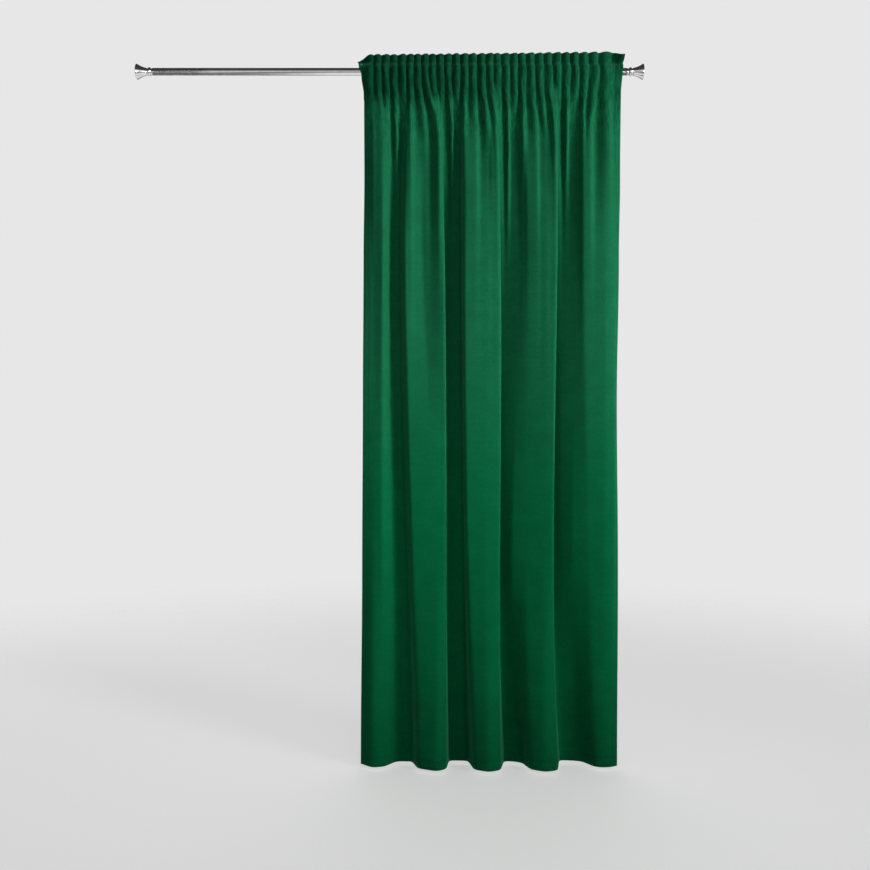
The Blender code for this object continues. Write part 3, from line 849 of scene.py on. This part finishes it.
def chrome():
    """Polished chrome with faint drawn streaks along the tube and a few smudges."""
    finish, tree, shader = new_material("polished_chrome")
    place = add_node(tree, "TexCoord", {}).outputs["Object"]
    drawn = noise(tree, stretched(tree, place, DRAWN_PER_METRE), 1.0, detail=2.0)
    smudges = noise(tree, place, SMUDGES_PER_METRE, detail=4.0)
    roughness = rescale(tree, smudges, *SMUDGE_GLOSS_SPAN, *CHROME_ROUGHNESS)
    tree.links.new(roughness, shader.inputs["Roughness"])
    tone = rescale(tree, smudges, *SMUDGE_TONE_SPAN, *CHROME_TONES)
    colour = add_node(tree, "CombineXYZ", {0: tone, 1: tone, 2: tone}).outputs["Vector"]
    tree.links.new(colour, shader.inputs["Base Color"])
    emboss(tree, shader, drawn, CHROME_BUMP)
    shader.inputs["Metallic"].default_value = 1
    return finish


# ---------------------------------------------------------------- studio

# Places in the view are across and up; softboxes have a place, an aim, a size, a power and a spread
CAMERA_DISTANCE = 3.80
VIEW_CENTRE = (0.171, -1.379)
METRES_PER_PIXEL = 0.003797
FRAME_PIXELS = 870
SENSOR = 36.0
SOFTBOXES = {
    "key": ((5.6, -4.2, -0.5), (0.3, 0, -0.80), (2.5, 2.0), 31, 33),
    "front": ((1.0, -4.5, -1.0), (0.4, 0, -1.5), (2.2, 2.2), 6.0, 62),
}
FLOOR_LEVEL = -2.646
FLOOR_RADIUS = 6.0
FLOOR_SIDES = 96
FLOOR_FADE = (1.4, 5.5)
FLOOR_GREY = (0.72, 0.72, 0.72, 1)
FLOOR_ROUGHNESS = 0.6
FLOOR_GLOW = 0.42
MIRRORED_FLOOR_GLOW = 0.60
WHITE = (1, 1, 1, 1)
BACKDROP_GREY = (0.80, 0.80, 0.80, 1)
AMBIENT = 0.22
AMBIENT_BEHIND = 1.00
# How far to the back a direction points, from -1 to 1, where the light from behind starts
BEHIND_START = 0.35
# Reflected backdrop: its tones straight down and straight up, and its bands between them, each with
# its place from straight down at 0 to straight up at 1 and its tone
REFLECTED_BELOW = (0.30, 0.30, 0.31, 1)
REFLECTED_ABOVE = (0.04, 0.04, 0.04, 1)
REFLECTED_BANDS = ((0.30, 0.20), (0.42, 0.75), (0.50, 0.35), (0.60, 0.90), (0.72, 0.10))


def camera():
    """A level camera that looks along +Y."""
    data = bpy.data.cameras.new("camera")
    data.sensor_width = SENSOR
    data.lens = SENSOR * CAMERA_DISTANCE / (FRAME_PIXELS * METRES_PER_PIXEL)
    eye = added("camera", data)
    eye.location = (VIEW_CENTRE[0], -CAMERA_DISTANCE, VIEW_CENTRE[1])
    eye.rotation_euler = (math.pi / 2, 0, 0)
    bpy.context.scene.camera = eye


def softbox(name, place, aim, size, power, spread):
    """A rectangular light, aimed at a point, whose light spreads by an angle in degrees."""
    data = bpy.data.lights.new(name, "AREA")
    data.shape = "RECTANGLE"
    data.size, data.size_y = size
    data.energy = power
    data.spread = math.radians(spread)
    lamp = added(name, data)
    lamp.location = place
    direction = np.array(aim) - np.array(place)
    lamp.rotation_euler = (
        math.atan2(math.hypot(direction[0], direction[1]), -direction[2]),
        0,
        math.atan2(direction[1], direction[0]) - math.pi / 2,
    )


def pale_floor():
    """A pale floor that glows a little to the eye and in the chrome, and fades out at its rim."""
    finish, tree, shader = new_material("pale_floor")
    shader.inputs["Base Color"].default_value = FLOOR_GREY
    shader.inputs["Roughness"].default_value = FLOOR_ROUGHNESS
    shader.inputs["Emission Color"].default_value = WHITE
    place = add_node(tree, "TexCoord", {}).outputs["Object"]
    distance = add_node(tree, "VectorMath", {0: place}, operation="LENGTH").outputs["Value"]
    rays = add_node(tree, "LightPath", {}).outputs
    seen = calculate(tree, "MULTIPLY", rays["Is Camera Ray"], FLOOR_GLOW)
    mirrored = calculate(tree, "MULTIPLY", rays["Is Glossy Ray"], MIRRORED_FLOOR_GLOW)
    tree.links.new(calculate(tree, "ADD", seen, mirrored), shader.inputs["Emission Strength"])
    tree.links.new(rescale(tree, distance, *FLOOR_FADE, 1.0, 0.0), shader.inputs["Alpha"])
    return finish


def floor():
    """The studio's floor, just below the drape's hem."""
    bpy.ops.mesh.primitive_circle_add(
        vertices=FLOOR_SIDES, radius=FLOOR_RADIUS, fill_type="NGON"
    )
    ground = bpy.context.object
    ground.name = "studio_floor"
    ground.location = (VIEW_CENTRE[0], 0, FLOOR_LEVEL)
    ground.data.materials.append(pale_floor())


def background(tree, colour):
    """An even light from all round in a colour."""
    return add_node(tree, "Background", {"Color": colour, "Strength": 1.0}).outputs["Background"]


def reflected_colour(tree, up):
    """Colour of the banded backdrop that the chrome reflects, by how far up a direction points."""
    bands = add_node(tree, "ValToRGB", {"Fac": rescale(tree, up, -1.0, 1.0, 0.0, 1.0)})
    ramp = bands.color_ramp
    ramp.elements[0].color = REFLECTED_BELOW
    ramp.elements[1].color = REFLECTED_ABOVE
    for place, tone in REFLECTED_BANDS:
        ramp.elements.new(place).color = (tone, tone, tone, 1)
    return bands.outputs["Color"]


def mixed(tree, share, first, second):
    """The first shader where the share is 0, and the second where it is 1."""
    return add_node(tree, "MixShader", {"Fac": share, 1: first, 2: second}).outputs["Shader"]


def backdrop():
    """A pale backdrop to the eye, banded in reflections, and a dimmer light from all round."""
    world = bpy.data.worlds.new("studio")
    bpy.context.scene.world = world
    world.use_nodes = True
    tree = world.node_tree
    direction = add_node(tree, "TexCoord", {}).outputs["Generated"]
    parts = add_node(tree, "SeparateXYZ", {"Vector": direction}).outputs
    light = tree.nodes["Background"]
    light.inputs["Color"].default_value = WHITE
    strength = rescale(tree, parts["Y"], BEHIND_START, 1.0, AMBIENT, AMBIENT_BEHIND)
    tree.links.new(strength, light.inputs["Strength"])
    rays = add_node(tree, "LightPath", {}).outputs
    mirrored = background(tree, reflected_colour(tree, parts["Z"]))
    unseen = mixed(tree, rays["Is Glossy Ray"], light.outputs["Background"], mirrored)
    seen = background(tree, BACKDROP_GREY)
    surface = mixed(tree, rays["Is Camera Ray"], unseen, seen)
    tree.links.new(surface, tree.nodes["World Output"].inputs["Surface"])


def studio():
    """Camera, floor, backdrop and lights."""
    camera()
    floor()
    backdrop()
    for name, settings in SOFTBOXES.items():
        softbox(name, *settings)
    bpy.context.scene.view_settings.view_transform = "Standard"


# ---------------------------------------------------------------- the part


def dress(piece, finish, slot, *nodes):
    """Give a piece its material and body, and hide the solids that it stands for; the slot is not used.
    """
    piece.data.materials.clear()
    piece.data.materials.append(finish)
    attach(piece, "root")
    for node in nodes:
        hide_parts(node)


def main():
    """Build the studio and every piece of the part."""
    studio()
    sheet, length = cloth()
    dress(sheet, velvet(length), "velvet", "velvet_panel")
    sewn = stitches()
    dress(sewn, thread(), "velvet")
    shine = chrome()
    dress(rod(), shine, "chrome", "rod_tube")
    dress(finial("finial_shown_left", -1), shine, "chrome", "finial_left")
    dress(finial("finial_shown_right", 1), shine, "chrome", "finial_right")


main()
